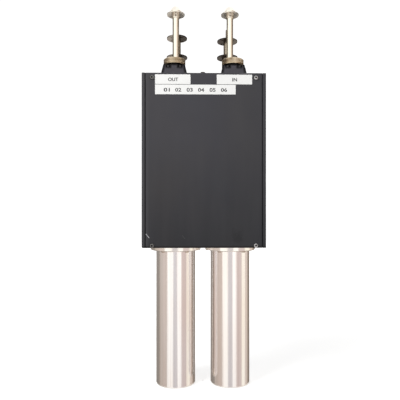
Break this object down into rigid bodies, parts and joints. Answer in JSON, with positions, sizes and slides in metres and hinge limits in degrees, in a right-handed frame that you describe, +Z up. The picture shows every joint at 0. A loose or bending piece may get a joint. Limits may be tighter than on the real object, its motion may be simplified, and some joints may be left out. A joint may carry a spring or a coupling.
{
  "type": "broadcast filter",
  "caption": "Broadcast band-pass filter: a dark box on metal cavity tubes, with coaxial ports, sliding tuning rods and rear fine tuners on top.",
  "frame": {"origin": "on the floor, midway between the two cavity tubes", "axes": "+Z up along the cavities, +X to the right towards the IN port, +Y away from the front cover"},
  "size_m": [0.1556, 0.1212, 0.518],
  "materials": {
    "box_paint": "satin dark blue-grey powder coat, lightly scratched",
    "screw_steel": "plain screws",
    "screw_black": "blackened screws",
    "label_tape": "white laminated tape",
    "tube_metal": "bright drawn tube, lightly tarnished",
    "flange_metal": "turned ring",
    "cavity_brass": "plated inner pieces",
    "rod_steel": "polished rod",
    "disc_metal": "darkened turned disc",
    "bush_brass": "turned bush",
    "ring_brass": "tarnished threaded ring",
    "base_paint": "black satin base",
    "insulator_white": "white insulator",
    "contact_metal": "plated contact",
    "stem_steel": "dull rear rod"
  },
  "bodies": {
    "housing": {"left_side_panel": "box_paint", "right_side_panel": "box_paint", "side_panel_screws": "screw_steel", "front_cover": "box_paint", "rear_cover": "box_paint", "front_cover_screws": "screw_steel", "rear_cover_screws": "screw_steel", "top_plate": "box_paint", "bottom_plate": "box_paint", "label_tapes": "label_tape", "coupling_link": "cavity_brass", "link_bushes": "insulator_white", "cavity_tube_out": "tube_metal", "tube_flange_out": "flange_metal", "flange_screws_out": "screw_steel", "tube_end_cap_out": "tube_metal", "inner_conductor_out": "cavity_brass", "rod_bush_out": "bush_brass", "connector_base_out": "base_paint", "connector_screws_out": "screw_black", "connector_body_out": "ring_brass", "connector_insulator_out": "insulator_white", "connector_contact_out": "contact_metal", "coupling_loop_out": "cavity_brass", "fine_sleeve_out": "stem_steel", "cavity_tube_in": "tube_metal", "tube_flange_in": "flange_metal", "flange_screws_in": "screw_steel", "tube_end_cap_in": "tube_metal", "inner_conductor_in": "cavity_brass", "rod_bush_in": "bush_brass", "connector_base_in": "base_paint", "connector_screws_in": "screw_black", "connector_body_in": "ring_brass", "connector_insulator_in": "insulator_white", "connector_contact_in": "contact_metal", "coupling_loop_in": "cavity_brass", "fine_sleeve_in": "stem_steel"},
    "tuning_out": {"plunger_out": "cavity_brass", "tuning_rod_out": "rod_steel", "knob_disc_out": "disc_metal", "cap_nut_out": "rod_steel"},
    "rod_nut_out": {"rod_lock_nut_out": "bush_brass"},
    "fine_out": {"fine_rod_out": "stem_steel", "fine_disc_out": "disc_metal", "fine_vane_out": "cavity_brass"},
    "fine_nut_out": {"fine_lock_disc_out": "disc_metal"},
    "tuning_in": {"plunger_in": "cavity_brass", "tuning_rod_in": "rod_steel", "knob_disc_in": "disc_metal", "cap_nut_in": "rod_steel"},
    "rod_nut_in": {"rod_lock_nut_in": "bush_brass"},
    "fine_in": {"fine_rod_in": "stem_steel", "fine_disc_in": "disc_metal", "fine_vane_in": "cavity_brass"},
    "fine_nut_in": {"fine_lock_disc_in": "disc_metal"},
    "coupling_adjuster": {"coupling_screw": "stem_steel"},
    "coupling_nut": {"coupling_lock_nut": "screw_black"}
  },
  "joints": [
    {"name": "tuning_slide_out", "type": "slide", "parent": "housing", "child": "tuning_out", "axis": [0, 0, 1], "range_m": [-0.04, 0.02]},
    {"name": "rod_nut_turn_out", "type": "hinge", "parent": "housing", "child": "rod_nut_out", "pos_m": [-0.0375, 0, 0.42], "axis": [0, 0, 1], "range_deg": [0, 180]},
    {"name": "fine_slide_out", "type": "slide", "parent": "housing", "child": "fine_out", "axis": [0, 0, 1], "range_m": [-0.02, 0.01]},
    {"name": "fine_nut_turn_out", "type": "hinge", "parent": "housing", "child": "fine_nut_out", "pos_m": [-0.0375, 0.044, 0.462], "axis": [0, 0, 1], "range_deg": [0, 180]},
    {"name": "tuning_slide_in", "type": "slide", "parent": "housing", "child": "tuning_in", "axis": [0, 0, 1], "range_m": [-0.04, 0.02]},
    {"name": "rod_nut_turn_in", "type": "hinge", "parent": "housing", "child": "rod_nut_in", "pos_m": [0.0375, 0, 0.42], "axis": [0, 0, 1], "range_deg": [0, 180]},
    {"name": "fine_slide_in", "type": "slide", "parent": "housing", "child": "fine_in", "axis": [0, 0, 1], "range_m": [-0.016, 0.014]},
    {"name": "fine_nut_turn_in", "type": "hinge", "parent": "housing", "child": "fine_nut_in", "pos_m": [0.0375, 0.044, 0.462], "axis": [0, 0, 1], "range_deg": [0, 180]},
    {"name": "coupling_slide", "type": "slide", "parent": "housing", "child": "coupling_adjuster", "axis": [0, 0, 1], "range_m": [-0.003, 0.012]},
    {"name": "coupling_nut_turn", "type": "hinge", "parent": "housing", "child": "coupling_nut", "pos_m": [0, 0, 0.412], "axis": [0, 0, 1], "range_deg": [0, 180]}
  ]
}
